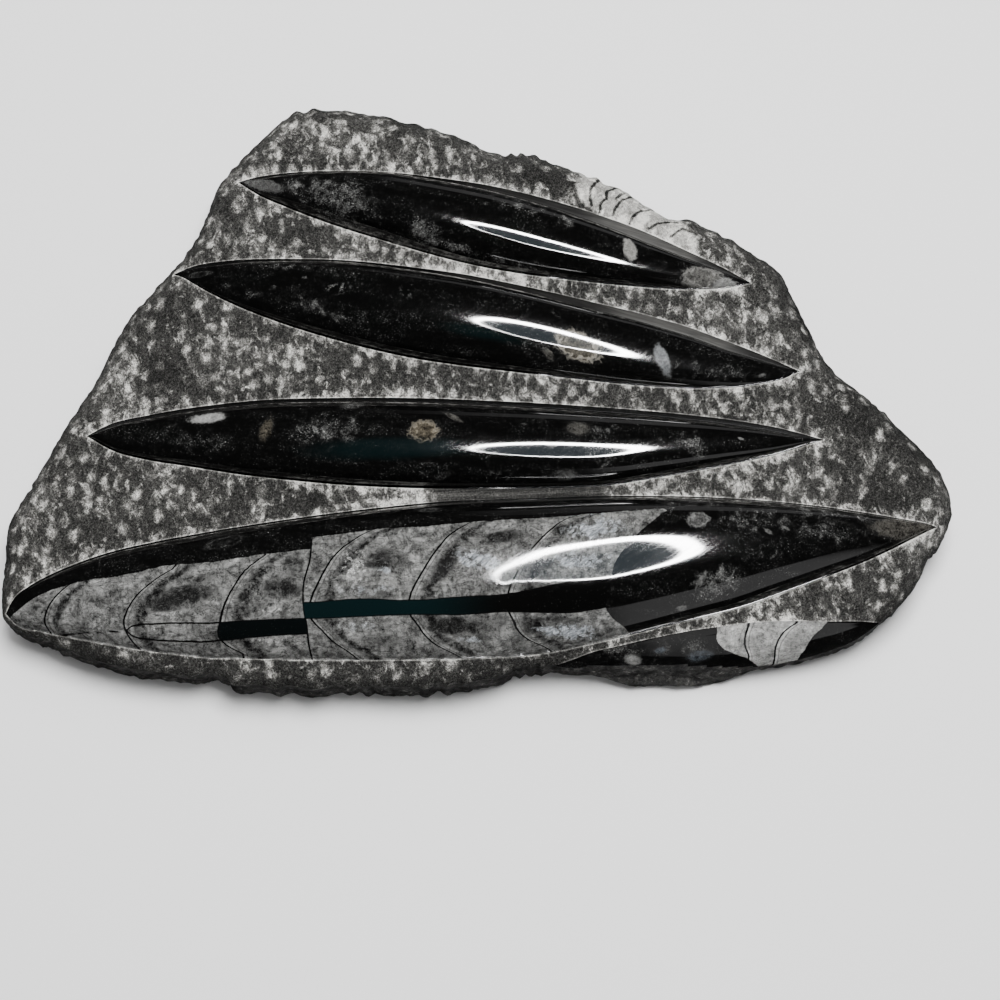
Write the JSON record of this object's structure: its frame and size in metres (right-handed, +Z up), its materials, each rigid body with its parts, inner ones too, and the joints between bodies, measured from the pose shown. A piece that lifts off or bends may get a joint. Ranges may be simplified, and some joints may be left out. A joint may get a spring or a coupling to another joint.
{
  "type": "orthoceras fossil plaque",
  "caption": "Flat slab of black limestone with a chisel-pitted face and long polished spindle-shaped fossil reliefs, shown lying on its flat sawn back.",
  "frame": {"origin": "middle of the slab's outline, on its flat sawn back", "axes": "+X along the slab's length, from the left tip of the largest relief towards its right tip; +Y towards the narrow back end of the slab; +Z up, out of the carved face"},
  "size_m": [0.302, 0.1998, 0.0362],
  "materials": {
    "black_limestone": "dark grey and chisel-pitted on the face, polished near-black with grey calcite shells on the reliefs, rough broken edges, sawn back"
  },
  "bodies": {
    "root": {"orthoceras_plaque": "black_limestone"}
  },
  "joints": []
}
